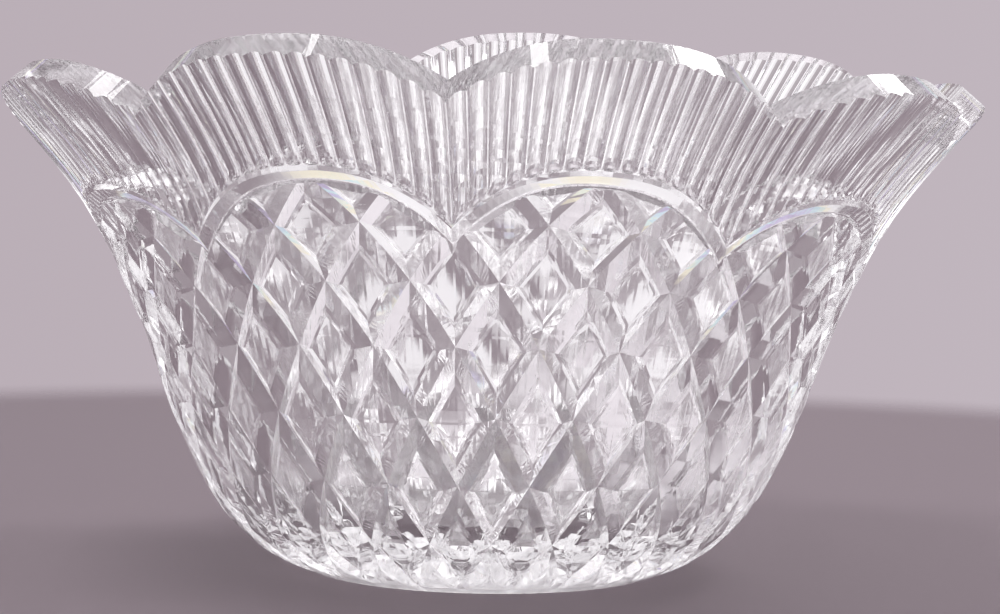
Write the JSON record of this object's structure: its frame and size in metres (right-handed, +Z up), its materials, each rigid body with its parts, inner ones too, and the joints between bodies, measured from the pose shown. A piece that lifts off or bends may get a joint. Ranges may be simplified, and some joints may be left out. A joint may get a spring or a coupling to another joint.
{
  "type": "crystal bowl",
  "caption": "Deep flared bowl of thick clear cut glass with a scalloped rim, fluted upper wall and lattice-cut body, on a flat ground foot",
  "frame": {"origin": "centre of the ground foot, on the table", "axes": "+Z up out of the bowl; -Y towards the viewer, through the point where two front lobes of the rim meet; +X to the viewer's right"},
  "size_m": [0.2776, 0.2754, 0.1519],
  "materials": {
    "crystal": "clear polished cut crystal"
  },
  "bodies": {
    "root": {"bowl": "crystal"}
  },
  "joints": []
}
